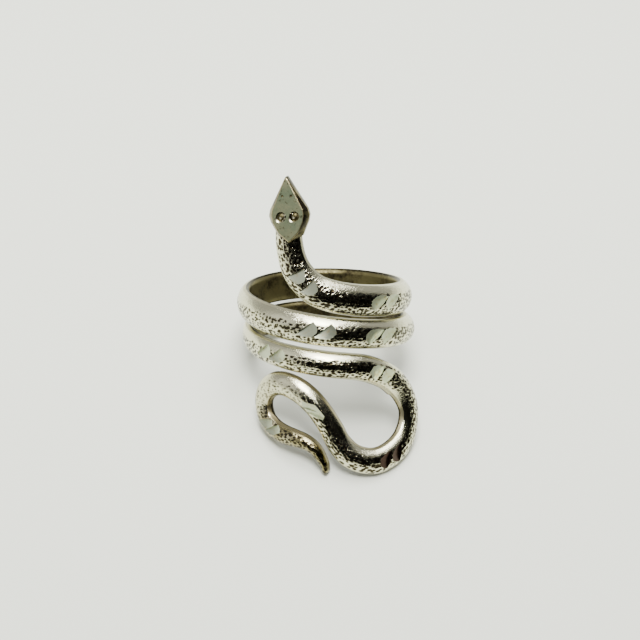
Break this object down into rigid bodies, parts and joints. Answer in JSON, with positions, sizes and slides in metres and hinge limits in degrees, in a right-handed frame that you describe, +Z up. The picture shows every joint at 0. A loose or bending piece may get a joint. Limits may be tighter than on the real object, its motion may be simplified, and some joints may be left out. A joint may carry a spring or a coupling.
{
  "type": "snake wrap ring",
  "caption": "Finger ring shaped as a snake: a domed band coils round the finger, a kite-shaped head above and looping tail below.",
  "frame": {"origin": "bottom centre of the resting ring's bounding box", "axes": "+Z up from the floor it stands on, -Y towards the side with the head and loops; the finger's axis leans back from +Z towards +Y"},
  "size_m": [0.021, 0.0278, 0.0274],
  "materials": {
    "silver": "satin"
  },
  "bodies": {
    "root": {"snake_band": "silver"}
  },
  "joints": []
}
